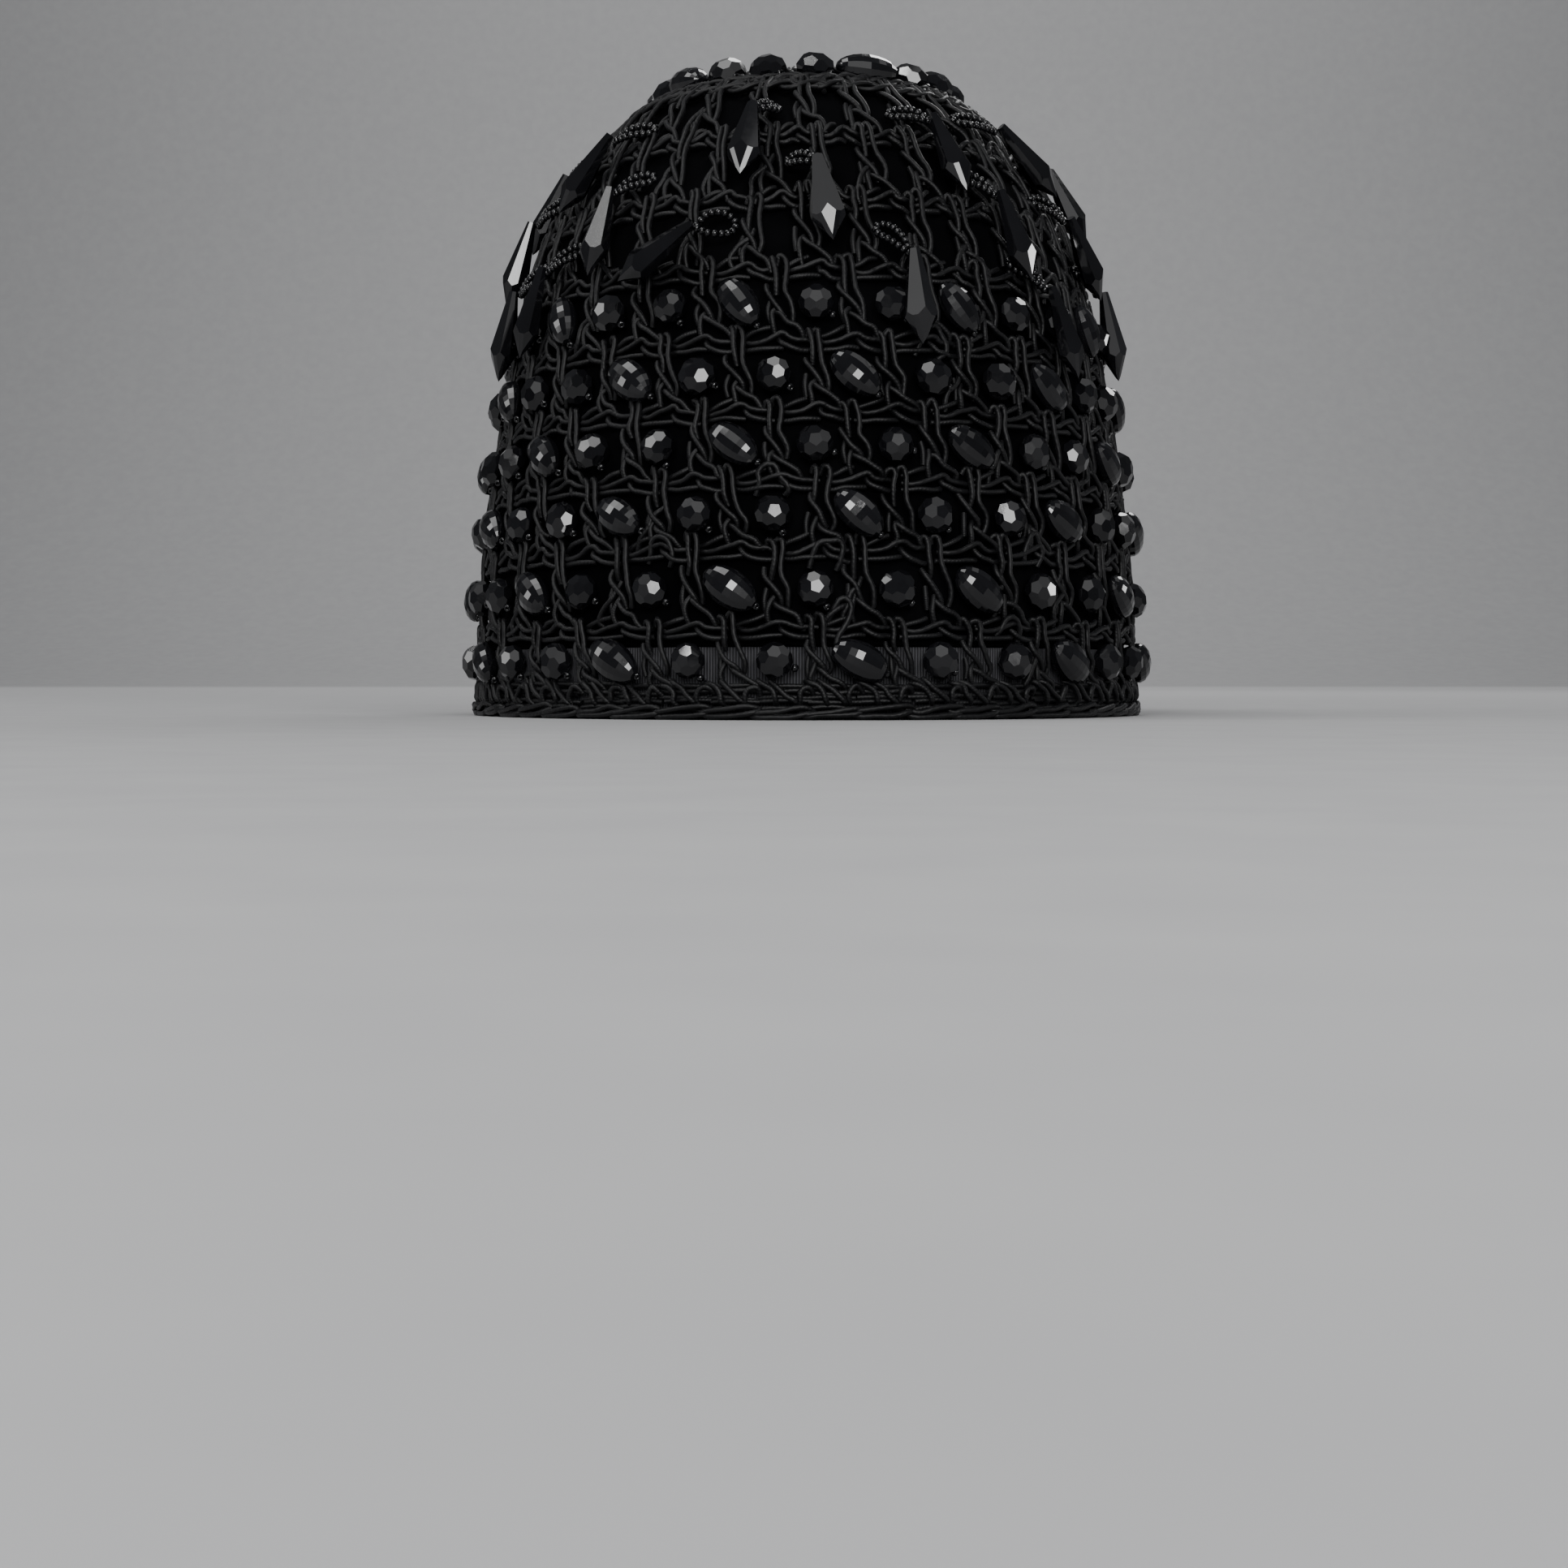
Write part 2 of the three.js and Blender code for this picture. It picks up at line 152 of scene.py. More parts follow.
def wrapped_wall(name, profile, steps):
    """A closed wall round the hat, spun from its section of (level, out) and laid on the crown."""
    # The section is first spun round a plain drum, with its depths drawn out
    drum = 2
    drawn_out = 100
    bm = bmesh.new()
    line = [bm.verts.new((drum + out * drawn_out, 0, level)) for level, out in profile]
    edges = [bm.edges.new((line[i], line[(i + 1) % len(line)])) for i in range(len(line))]
    bmesh.ops.spin(
        bm,
        geom=line + edges,
        cent=(0, 0, 0),
        axis=(0, 0, 1),
        steps=steps,
        angle=math.tau,
        use_merge=True,
    )
    uv = bm.loops.layers.uv.new("UVMap")
    for face in bm.faces:
        middle = face.calc_center_median()
        turn = math.atan2(middle.y, middle.x)
        for loop in face.loops:
            own = math.atan2(loop.vert.co.y, loop.vert.co.x)
            own += math.tau * round((turn - own) / math.tau)
            loop[uv].uv = (own / math.tau, loop.vert.co.z)
    flat = np.array([vert.co for vert in bm.verts])
    degrees = np.degrees(np.arctan2(flat[:, 1], flat[:, 0]))
    out = (np.hypot(flat[:, 0], flat[:, 1]) - drum) / drawn_out
    for vert, point in zip(bm.verts, place(degrees, flat[:, 2], out)[0]):
        vert.co = point
    bmesh.ops.remove_doubles(bm, verts=bm.verts, dist=1e-6)
    bmesh.ops.recalc_face_normals(bm, faces=bm.faces)
    for face in bm.faces:
        face.smooth = True
    mesh = bpy.data.meshes.new(name)
    bm.to_mesh(mesh)
    bm.free()
    return mesh


def fibre_group():
    """Short fibres: a fine value for their grain, and a slow one for their uneven colour."""
    group = bpy.data.node_groups.new("fibres", "ShaderNodeTree")
    for socket, way in (("Scale", "INPUT"), ("Fine", "OUTPUT"), ("Slow", "OUTPUT")):
        group.interface.new_socket(name=socket, in_out=way, socket_type="NodeSocketFloat")
    nodes, links = group.nodes, group.links
    start = nodes.new("NodeGroupInput")
    end = nodes.new("NodeGroupOutput")
    place_node = nodes.new("ShaderNodeTexCoord")
    fine = nodes.new("ShaderNodeTexNoise")
    fine.inputs["Detail"].default_value = 3
    slow = nodes.new("ShaderNodeTexNoise")
    slow.inputs["Scale"].default_value = 60
    slow.inputs["Detail"].default_value = 2
    links.new(place_node.outputs["Object"], fine.inputs["Vector"])
    links.new(place_node.outputs["Object"], slow.inputs["Vector"])
    links.new(start.outputs["Scale"], fine.inputs["Scale"])
    links.new(fine.outputs["Fac"], end.inputs["Fine"])
    links.new(slow.outputs["Fac"], end.inputs["Slow"])
    return group


FIBRES = fibre_group()


class Finish:
    """A material with its principled shader and short ways to add nodes to it."""

    def __init__(self, name, **constants):
        self.material = bpy.data.materials.new(name)
        self.material.use_nodes = True
        self.nodes = self.material.node_tree.nodes
        self.links = self.material.node_tree.links
        self.shader = self.nodes["Principled BSDF"]
        for socket, value in constants.items():
            self.shader.inputs[socket.replace("_", " ")].default_value = value

    def link(self, output, target):
        self.links.new(output, target)

    def fibres(self, scale):
        node = self.nodes.new("ShaderNodeGroup")
        node.node_tree = FIBRES
        node.inputs["Scale"].default_value = scale
        return node

    def ramp(self, value, low, high, low_at=0.3, high_at=0.7):
        node = self.nodes.new("ShaderNodeValToRGB")
        node.color_ramp.elements[0].color = (*low, 1)
        node.color_ramp.elements[0].position = low_at
        node.color_ramp.elements[1].color = (*high, 1)
        node.color_ramp.elements[1].position = high_at
        self.link(value, node.inputs["Fac"])
        return node.outputs["Color"]

    def range(self, value, low, high, from_low=0):
        node = self.nodes.new("ShaderNodeMapRange")
        node.inputs["From Min"].default_value = from_low
        node.inputs["To Min"].default_value = low
        node.inputs["To Max"].default_value = high
        self.link(value, node.inputs["Value"])
        return node.outputs["Result"]

    def math(self, operation, first, second):
        node = self.nodes.new("ShaderNodeMath")
        node.operation = operation
        for socket, value in zip(node.inputs, (first, second)):
            if isinstance(value, (int, float)):
                socket.default_value = value
            else:
                self.link(value, socket)
        return node.outputs[0]

    def bump(self, height, strength, distance):
        node = self.nodes.new("ShaderNodeBump")
        node.inputs["Strength"].default_value = strength
        node.inputs["Distance"].default_value = distance
        self.link(height, node.inputs["Height"])
        self.link(node.outputs["Normal"], self.shader.inputs["Normal"])


velvet = Finish(
    "velvet",
    Roughness=0.95,
    Specular_IOR_Level=0.02,
    Sheen_Weight=0.03,
    Sheen_Roughness=0.35,
    Sheen_Tint=(0.1, 0.1, 0.12, 1),
)
pile = velvet.fibres(2600)
velvet.link(
    velvet.ramp(pile.outputs["Slow"], (0.0010, 0.0010, 0.0012), (0.0022, 0.0022, 0.0026)),
    velvet.shader.inputs["Base Color"],
)
velvet.bump(pile.outputs["Fine"], 0.5, 0.0002)

shell_levels = np.linspace(level_at(BAND_HEIGHT + FIT), 1, SHELL_ROWS)
shell_profile = [(level, -SHELL_DEPTH) for level in shell_levels]
shell_profile += [(level, -SHELL_DEPTH - SHELL_WALL) for level in shell_levels[::-1]]
shell_mesh = wrapped_wall("velvet_shell", shell_profile, SHELL_STEPS)
show("velvet_shell", shell_mesh, velvet.material, "velvet", "shell")


# Headband
# A dark grey grosgrain ribbon, doubled and sewn edge to edge under the dome. Its ribs stand
# upright, about 0.7 mm apart, and show through the lowest windows of the net.

BAND_WALL = 0.002
BAND_STEPS = 180
BAND_EDGE = 0.0003
RIBS = 820

ribbon = Finish(
    "grosgrain",
    Roughness=0.62,
    Specular_IOR_Level=0.3,
    Sheen_Weight=0.12,
    Sheen_Roughness=0.5,
    Sheen_Tint=(0.3, 0.3, 0.33, 1),
)
ribbon_uv = ribbon.nodes.new("ShaderNodeUVMap")
ribbon_uv.uv_map = "UVMap"
ribbon_split = ribbon.nodes.new("ShaderNodeSeparateXYZ")
ribbon.link(ribbon_uv.outputs["UV"], ribbon_split.inputs["Vector"])
rib = ribbon.math("MULTIPLY", ribbon_split.outputs["X"], RIBS * math.tau)
rib = ribbon.range(ribbon.math("SINE", rib, 0), 0, 1, from_low=-1)
weft = ribbon.fibres(5000)
ribbon_height = ribbon.math("ADD", rib, ribbon.math("MULTIPLY", weft.outputs["Fine"], 0.35))
# Painted shade: the colour follows the rib wave, near black in the grooves between the ribs and
# dark grey on their crests.
ribbon.link(
    ribbon.ramp(rib, (0.004, 0.004, 0.005), (0.040, 0.040, 0.045), 0.1, 0.9),
    ribbon.shader.inputs["Base Color"],
)
ribbon.bump(ribbon_height, 0.9, 0.0002)

band_top = level_at(BAND_HEIGHT)
band_edge = BAND_EDGE / SLANT
band_outside = -SHELL_DEPTH
band_inside = -SHELL_DEPTH - BAND_WALL
band_profile = [
    (0.0, band_outside - BAND_EDGE),
    (band_edge, band_outside),
    (band_top / 3, band_outside),
    (band_top * 2 / 3, band_outside),
    (band_top - band_edge, band_outside),
    (band_top, band_outside - BAND_EDGE),
    (band_top, band_inside + BAND_EDGE),
    (band_top - band_edge, band_inside),
    (band_edge, band_inside),
    (0.0, band_inside + BAND_EDGE),
]
band_mesh = wrapped_wall("ribbon_band", band_profile, BAND_STEPS)
show("ribbon_band", band_mesh, ribbon.material, "ribbon", "headband")


# Crochet net
# One black rayon cord, 1.25 mm thick with a soft satin twist, is crocheted round after round of
# tall stitches. Each stitch is a pair of long legs that hook over the ring above, cross, and
# spread on the ring below, so that a square window is left between it and the next.

CORD_RADIUS = 0.00063
# The turns of the twist along each strand, and the plies that show round it
TWISTS = 13
PLIES = 2

cord = Finish(
    "cord",
    Specular_IOR_Level=0.26,
    Sheen_Weight=0.05,
    Sheen_Roughness=0.3,
    Sheen_Tint=(0.4, 0.4, 0.44, 1),
)
cord_uv = cord.nodes.new("ShaderNodeTexCoord")
cord_split = cord.nodes.new("ShaderNodeSeparateXYZ")
cord.link(cord_uv.outputs["UV"], cord_split.inputs["Vector"])
twist_along = cord.math("MULTIPLY", cord_split.outputs["X"], TWISTS * math.tau)
twist_round = cord.math("MULTIPLY", cord_split.outputs["Y"], PLIES * math.tau)
twist = cord.math("ADD", twist_along, twist_round)
twist = cord.range(cord.math("SINE", twist, 0), 0, 1, from_low=-1)
silk = cord.fibres(3500)
cord_height = cord.math("ADD", twist, cord.math("MULTIPLY", silk.outputs["Fine"], 0.6))
cord.link(
    cord.ramp(silk.outputs["Slow"], (0.0016, 0.0016, 0.0019), (0.0036, 0.0036, 0.0042)),
    cord.shader.inputs["Base Color"],
)
cord.link(cord.range(silk.outputs["Slow"], 0.42, 0.56), cord.shader.inputs["Roughness"])
cord.bump(cord_height, 0.35, 0.0001)

# Each round: its name, the heights of the rings under and over it, its stitches, the angle of
# one of them, and how broad its stitches are for the pitch
ROUNDS = [
    ("a", 0.0062, 0.0205, 30, 1.2, 1.0),
    ("b", 0.0205, 0.0383, 30, -4.8, 1.0),
    ("c", 0.0383, 0.0541, 30, 1.2, 1.0),
    ("d", 0.0541, 0.0698, 30, -4.8, 1.0),
    ("e", 0.0698, 0.0860, 30, 1.2, 1.05),
    ("f", 0.0860, 0.1030, 30, 7.4, 1.1),
    ("g", 0.1030, 0.1205, 36, -0.5, 1.3),
    ("h", 0.1205, 0.1378, 36, 2.4, 1.35),
    ("i", 0.1378, 0.1550, 30, -1.0, 1.45),
    ("top", 0.1550, 0.1612, 20, 12.0, 1.0),
]
# The strands of a stitch: shares of the pitch from its middle, shares of the round's height
# below the upper ring, and millimetres out from the net's outer face
LEGS = [
    [(-0.13, -0.09, -2.2), (-0.10, -0.165, -1.1), (-0.06, -0.12, -0.75), (-0.045, 0.06, -0.75),
     (-0.04, 0.22, -0.95), (-0.035, 0.36, -1.9)],
    [(-0.02, -0.08, -2.2), (-0.005, -0.15, -1.3), (0.033, -0.183, -0.8), (0.075, -0.13, -0.7),
     (0.087, 0.14, -0.7), (0.107, 0.31, -0.7), (0.168, 0.475, -0.8), (0.193, 0.60, -1.2),
     (0.175, 0.73, -2.0)],
    [(-0.133, 0.20, -1.9), (-0.12, 0.31, -1.0), (-0.013, 0.475, -0.6), (0.075, 0.61, -1.1),
     (0.10, 0.70, -2.0)],
    [(-0.09, 0.45, -1.9), (-0.107, 0.60, -1.5), (-0.085, 0.76, -2.0)],
    [(0.0, 0.555, -1.8), (-0.047, 0.66, -1.1), (-0.05, 0.78, -1.0), (-0.015, 0.93, -1.9)],
    [(-0.01, 0.63, -1.6), (0.04, 0.68, -0.8), (0.15, 0.765, -0.7), (0.25, 0.83, -0.8),
     (0.31, 0.90, -1.1), (0.35, 0.98, -2.0)],
]
# The strands of the ring from one stitch to the next, in the same shares
RING = [
    [(0.08, 0.0, -2.1), (0.133, 0.03, -1.6), (0.24, 0.033, -1.1), (0.387, -0.017, -1.0),
     (0.52, -0.075, -0.8), (0.62, -0.095, -0.8), (0.69, -0.045, -1.1), (0.78, -0.017, -1.3),
     (0.90, -0.02, -1.9), (0.98, -0.01, -2.2)],
    [(0.57, -0.04, -2.0), (0.60, 0.02, -1.3), (0.66, 0.08, -0.9), (0.75, 0.118, -0.9),
     (0.88, 0.135, -1.7), (0.97, 0.13, -2.2)],
    [(0.06, 0.12, -2.2), (0.16, 0.125, -1.6), (0.30, 0.122, -1.2), (0.45, 0.108, -1.2),
     (0.60, 0.09, -2.0)],
    [(0.07, -0.05, -2.2), (0.17, -0.088, -1.6), (0.29, -0.145, -1.3), (0.42, -0.20, -2.0)],
]
# Strands that only some stitches have, with how often: a foot that spreads to the left, and a
# slack loop that stands up over the ring
ODD = [
    (0.35, [(0.06, 0.36, -1.9), (0.0, 0.50, -1.2), (-0.09, 0.62, -0.9), (-0.16, 0.74, -0.9),
            (-0.20, 0.88, -1.4), (-0.19, 0.97, -2.1)]),
    (0.12, [(0.33, 0.16, -1.9), (0.34, 0.0, -1.0), (0.42, -0.13, -0.5), (0.55, -0.19, -0.35),
            (0.63, -0.08, -0.6), (0.66, 0.08, -0.9), (0.60, 0.20, -1.9)]),
]
# How far the strands of each kind stray from their shape, in the same shares
LEG_PLAY = 0.014
RING_PLAY = 0.010
ODD_PLAY = 0.035


def smooth_spline(data, points):
    """Adds a smooth curve through the points."""
    spline = data.splines.new("BEZIER")
    spline.bezier_points.add(len(points) - 1)
    spline.bezier_points.foreach_set("co", np.array(points).ravel())
    for point in spline.bezier_points:
        point.handle_left_type = "AUTO"
        point.handle_right_type = "AUTO"
    spline.use_smooth = True


def crochet(name, strands, radius=CORD_RADIUS):
    """One curve with a round cord along each strand of (degrees, level, out)."""
    data = bpy.data.curves.new(name, "CURVE")
    data.dimensions = "3D"
    data.bevel_depth = radius
    data.bevel_resolution = 1
    data.resolution_u = 3
    data.render_resolution_u = 3
    data.use_fill_caps = True
    for strand in strands:
        degrees, level, out = np.array(strand).T
        smooth_spline(data, place(degrees, level, out)[0])
    return data


def stitch_round(under, over, count, first, breadth, seed):
    """The strands of one round, each stitch a little different."""
    rng = random.Random(seed)
    pitch = 360 / count
    low, high = level_at(under), level_at(over)
    strands = []

    def lay(shape, shift, drop, wide, play):
        """Lays one strand, set over by the shift and the drop, with some play in its points."""
        strand = []
        side, rise = rng.gauss(0, play), rng.gauss(0, play)
        for u, v, out in shape:
            along = u * wide + shift(u, v) + side + rng.gauss(0, play * 0.8)
            down = v + drop * (1 - v) + rise + rng.gauss(0, play * 0.8)
            level = high + (low - high) * down
            strand.append((first + pitch * along, level, (out + rng.gauss(0, 0.08)) * 1e-3))
        strands.append(strand)

    nudges = [(rng.gauss(0, 0.04), rng.gauss(0, 0.03)) for _ in range(count)]
    for k in range(count):
        across, down = nudges[k]
        next_across = nudges[(k + 1) % count][0]
        wide = breadth * rng.gauss(1, 0.07)
        for shape in LEGS:
            lay(shape, lambda u, v: k + across * (1 - v), down, wide, LEG_PLAY)
        for shape in RING:
            lay(shape, lambda u, v: k + across * (1 - u) + next_across * u, 0, 1, RING_PLAY)
        for share, shape in ODD:
            if rng.random() < share:
                lay(shape, lambda u, v: k + across * (1 - v), down, wide, ODD_PLAY)
    return strands


# Two slack strands over the lowest ring near the front: degrees, millimetres up and out
SLACK = [
    [(3.1, 22.0, -1.9), (3.9, 25.1, -0.6), (5.1, 27.3, -0.3), (6.2, 26.1, -0.3), (6.1, 23.5, -0.3),
     (5.3, 20.8, -0.3), (4.4, 18.5, -0.4), (4.2, 14.5, -0.9), (4.2, 12.5, -1.9)],
    [(2.4, 21.6, -1.6), (3.2, 23.4, -0.5), (5.2, 25.6, -0.8), (5.9, 25.8, -1.8)],
]

for seed, (name, *stitches) in enumerate(ROUNDS):
    strands = stitch_round(*stitches, seed)
    if name == "a":
        for shape in SLACK:
            strands.append([(turn, level_at(up / 1000), out / 1000) for turn, up, out in shape])
    round_curve = crochet(f"crochet_{name}", strands)
    show(f"crochet_{name}", round_curve, cord.material, "cord", "crochet_net")


# Crochet top
# Above the highest windows two flat braids of the same cord bind the crest. The net then closes
# in plain, shorter rounds, to a small ring in the middle of the crown.

# Each ring of the close rounds: its height and its stitches
TOP_RINGS = [(0.1612, 15), (0.16335, 12), (0.1647, 9), (0.16535, 6)]
# The innermost cord lies this far from the middle, and each turn round it half as far again
MIDDLE_RING = 0.0022
MIDDLE_TURNS = 3
# Each braid: its height, its waves round the hat, and how far they rise and fall
BRAIDS = [(0.1530, 24, 0.0021), (0.1561, 30, 0.0012)]
BRAID_OUT = -0.0009
BRAID_DEPTH = 0.0005

top_strands = []
for ring, ((under, count), (over, _)) in enumerate(zip(TOP_RINGS, TOP_RINGS[1:])):
    top_strands += stitch_round(under, over, count, 4 * ring, 1.0, 40 + ring)
for turn in range(MIDDLE_TURNS):
    level = 1 - MIDDLE_RING / SLANT * (1 + turn / 2)
    top_strands.append([(40 * step + 120 * turn, level, BRAID_OUT) for step in range(5)])
top_rng = random.Random(60)
for height, waves, swing in BRAIDS:
    for phase in (0, 2):
        braid = []
        for step in range(4 * waves + 2):
            quarter = math.pi / 2 * (step + phase)
            rise = swing * math.sin(quarter) + top_rng.gauss(0, 0.00022)
            degrees = 90 / waves * (step + top_rng.gauss(0, 0.12))
            out = BRAID_OUT + BRAID_DEPTH * math.cos(quarter)
            braid.append((degrees, level_at(height) + rise / SLANT, out))
        top_strands.append(braid)
top_curve = crochet("crochet_crown", top_strands)
show("crochet_crown", top_curve, cord.material, "cord", "crochet_net")


# Crochet border
# Two close rows of short stitches draw the net in at the rim, over the foot of the headband.
# Their lower edge is a chain of long slanting links that stands a little proud.

BORDER_STITCHES = 50
# The strands of a stitch and of a link under it: shares of the pitch, millimetres up from the
# rim, and millimetres out
BORDER_LEGS = [
    [(0.00, 8.7, -1.9), (0.08, 8.4, -0.8), (0.22, 7.6, -0.4), (0.33, 6.2, -0.2), (0.38, 4.6, -0.2),
     (0.42, 3.4, -1.2)],
    [(0.27, 8.9, -1.9), (0.36, 8.3, -0.8), (0.50, 7.0, -0.4), (0.62, 5.6, -0.2), (0.74, 4.3, -0.3),
     (0.80, 3.4, -1.2)],
    [(0.86, 3.3, -1.3), (0.84, 4.8, -0.5), (0.88, 6.6, -0.3), (0.97, 7.5, -0.4), (1.06, 7.2, -0.7),
     (1.12, 5.8, -1.7)],
    [(-0.02, 7.7, -2.0), (0.3, 7.5, -1.5), (0.6, 7.8, -1.4), (1.02, 7.6, -2.0)],
    [(0.05, 6.4, -2.0), (0.45, 6.2, -1.3), (0.8, 6.4, -1.2), (1.06, 6.3, -2.0)],
    [(0.0, 5.1, -1.9), (0.5, 5.3, -1.2), (1.0, 5.1, -1.9)],
    [(0.1, 4.0, -1.7), (0.6, 4.3, -1.1), (1.1, 4.0, -1.7)],
]
CHAIN_LINK = [
    [(-0.10, 2.1, -1.0), (0.01, 1.7, -0.1), (0.16, 1.75, 0.2), (0.50, 2.2, 0.3), (0.85, 2.9, 0.2),
     (1.02, 2.9, -0.2), (1.12, 2.3, -1.1)],
    [(-0.10, 1.3, -1.0), (0.02, 0.8, -0.2), (0.30, 0.8, 0.1), (0.70, 1.0, 0.15), (1.02, 1.6, 0.0),
     (1.14, 2.0, -1.0)],
    [(0.0, 2.4, -1.6), (0.5, 2.9, -1.2), (1.0, 2.4, -1.6)],
    [(0.0, 1.0, -1.7), (0.5, 0.9, -1.4), (1.0, 1.0, -1.7)],
]

border_rng = random.Random(7)
border_floor = CORD_RADIUS * 1000 + 0.1
border_strands = []
for k in range(BORDER_STITCHES):
    across = border_rng.gauss(0, 0.05)
    for shape in BORDER_LEGS + CHAIN_LINK:
        rise = border_rng.gauss(0, 0.2)
        strand = []
        for u, height, out in shape:
            height = max(height + rise + border_rng.gauss(0, 0.12), border_floor)
            turn = 360 / BORDER_STITCHES * (k + across + u + border_rng.gauss(0, 0.02))
            strand.append((turn, height * 1e-3 / SLANT, out * 1e-3))
        border_strands.append(strand)
border_curve = crochet("crochet_border", border_strands)
show("crochet_border", border_curve, cord.material, "cord", "crochet_net")


# Beads in the windows
# Pressed black glass, fire-polished, in two cuts: large ovals in every third window, sloping
# down to the right, and smaller round ones between them. Each is sewn through the velvet and
# held at its lower end by one seed bead. A thread runs round behind each row.

jet = Finish("jet", IOR=1.52)
polish = jet.fibres(900)
jet.link(
    jet.ramp(polish.outputs["Slow"], (0.0025, 0.0025, 0.0030), (0.0050, 0.0050, 0.0060)),
    jet.shader.inputs["Base Color"],
)
jet.link(jet.range(polish.outputs["Fine"], 0.02, 0.09), jet.shader.inputs["Roughness"])

# Half the length, width and thickness of each cut, and how deep the backs of the beads lie
OVAL_SIZE = (0.0069, 0.0043, 0.0033)
OVAL_SIDES = 14
OVAL_RINGS = 12
ROUND_SIZE = (0.0040, 0.0040, 0.0031)
BEAD_BACK = -0.0029
# The seed bead at a bead's lower end: how far it lies from the middle of each cut, and how far
# out from the backs
SEED_AT_OVAL = 0.0070
SEED_AT_ROUND = 0.0048
SEED_OUT = 0.0022
THREAD_RADIUS = 0.0003
THREAD_OUT = -SHELL_DEPTH - 0.0004
# Each row: its round, its beads, the angle of the first oval, its slope down to the right
BEAD_ROWS = [
    ("a", 30, 7.4, 35),
    ("b", 30, -10.6, 36),
    ("c", 30, 7.4, 33),
    ("d", 30, -10.6, 32),
    ("e", 30, 7.4, 42),
    ("f", 30, -10.6, 55),
    ("top", 20, 22, 12),
]
# Round the crest each oval and the three round beads after it are a set, a little larger than
# the others. The round ones lie these degrees past the oval.
TOP_SET = 4
TOP_SET_TURN = 72
TOP_GAPS = {1: 20, 2: 36, 3: 53}
TOP_GROWN = 1.12


def cut_stone(size, planes):
    """A stone cut from a block, one flat facet for each plane (direction, distance)."""
    bm = bmesh.new()
    bmesh.ops.create_cube(bm, size=1)
    bmesh.ops.scale(bm, vec=[3 * v for v in size], verts=bm.verts)
    for normal, distance in planes:
        normal = Vector(normal).normalized()
        cut = bmesh.ops.bisect_plane(
            bm,
            geom=bm.verts[:] + bm.edges[:] + bm.faces[:],
            dist=1e-8,
            plane_co=normal * distance,
            plane_no=normal,
            clear_outer=True,
        )
        edges = [part for part in cut["geom_cut"] if isinstance(part, bmesh.types.BMEdge)]
        if edges:
            bmesh.ops.edgeloop_fill(bm, edges=edges)
    bmesh.ops.remove_doubles(bm, verts=bm.verts, dist=2e-5)
    bmesh.ops.recalc_face_normals(bm, faces=bm.faces)
    return bm


def touching(normal, size):
    """The plane with this direction that touches an ellipsoid."""
    normal = Vector(normal).normalized()
    return normal, math.sqrt(sum((n * s) ** 2 for n, s in zip(normal, size)))


def oval_stone():
    """A large bead, cut in rings of flat facets round its long axis."""
    bm = bmesh.new()
    bmesh.ops.create_uvsphere(bm, u_segments=OVAL_SIDES, v_segments=OVAL_RINGS, radius=1)
    for angle, axis in ((math.pi / OVAL_SIDES, "Z"), (math.pi / 2, "Y")):
        turn = Matrix.Rotation(angle, 3, axis)
        bmesh.ops.rotate(bm, cent=(0, 0, 0), matrix=turn, verts=bm.verts)
    bmesh.ops.scale(bm, vec=OVAL_SIZE, verts=bm.verts)
    return bm


def round_planes():
    """The planes of a round bead: twelve facets and the twenty between them."""
    ball = bmesh.new()
    bmesh.ops.create_icosphere(ball, subdivisions=1, radius=1)
    directions = [vert.co for vert in ball.verts]
    directions += [face.calc_center_median().normalized() for face in ball.faces]
    planes = [touching([c / s for c, s in zip(way, ROUND_SIZE)], ROUND_SIZE) for way in directions]
    ball.free()
    return planes


def copies(name, stone, matrices, smooth=False):
    """One mesh with a copy of a stone at each matrix."""
    stone.verts.index_update()
    corners = np.array([(*vert.co, 1) for vert in stone.verts])
    rings = [[vert.index for vert in face.verts] for face in stone.faces]
    points = np.concatenate([(np.array(matrix) @ corners.T).T[:, :3] for matrix in matrices])
    faces = [[i + k * len(corners) for i in ring] for k in range(len(matrices)) for ring in rings]
    mesh = bpy.data.meshes.new(name)
    mesh.from_pydata(points.tolist(), [], faces)
    mesh.polygons.foreach_set("use_smooth", [smooth] * len(faces))
    mesh.update()
    return mesh


def join(name, meshes):
    """Several meshes as one."""
    bm = bmesh.new()
    for mesh in meshes:
        bm.from_mesh(mesh)
    joined = bpy.data.meshes.new(name)
    bm.to_mesh(joined)
    bm.free()
    for mesh in meshes:
        bpy.data.meshes.remove(mesh)
    return joined


def set_down(across, up, out, point):
    """The matrix that puts a stone at a point, with its X, Y and Z along the three directions."""
    matrix = Matrix.Identity(4)
    for column, axis in enumerate((across, up, out, point)):
        for line in range(3):
            matrix[line][column] = axis[line]
    return matrix


def seat(degrees, level, out, slope, roll=0.0):
    """A stone's place: its long axis along the net, sloping down to the right, its face out."""
    point, along, up, outward = (v[0] for v in place(degrees, level, out))
    turn = math.radians(slope)
    long = along * math.cos(turn) - up * math.sin(turn)
    short = np.cross(outward, long)
    return set_down(long, short, outward, point) @ Matrix.Rotation(math.radians(roll), 4, "Z")


def seed_bead():
    """A seed bead, 2 mm across, with its hole along Z."""
    bm = bmesh.new()
    section = [
        (0.00030, -0.00045),
        (0.00075, -0.00060),
        (0.00100, 0),
        (0.00075, 0.00060),
        (0.00030, 0.00045),
    ]
    line = [bm.verts.new((x, 0, z)) for x, z in section]
    edges = [bm.edges.new((line[i], line[(i + 1) % len(line)])) for i in range(len(line))]
    bmesh.ops.spin(
        bm,
        geom=line + edges,
        cent=(0, 0, 0),
        axis=(0, 0, 1),
        steps=8,
        angle=math.tau,
        use_merge=True,
    )
    bmesh.ops.recalc_face_normals(bm, faces=bm.faces)
    return bm


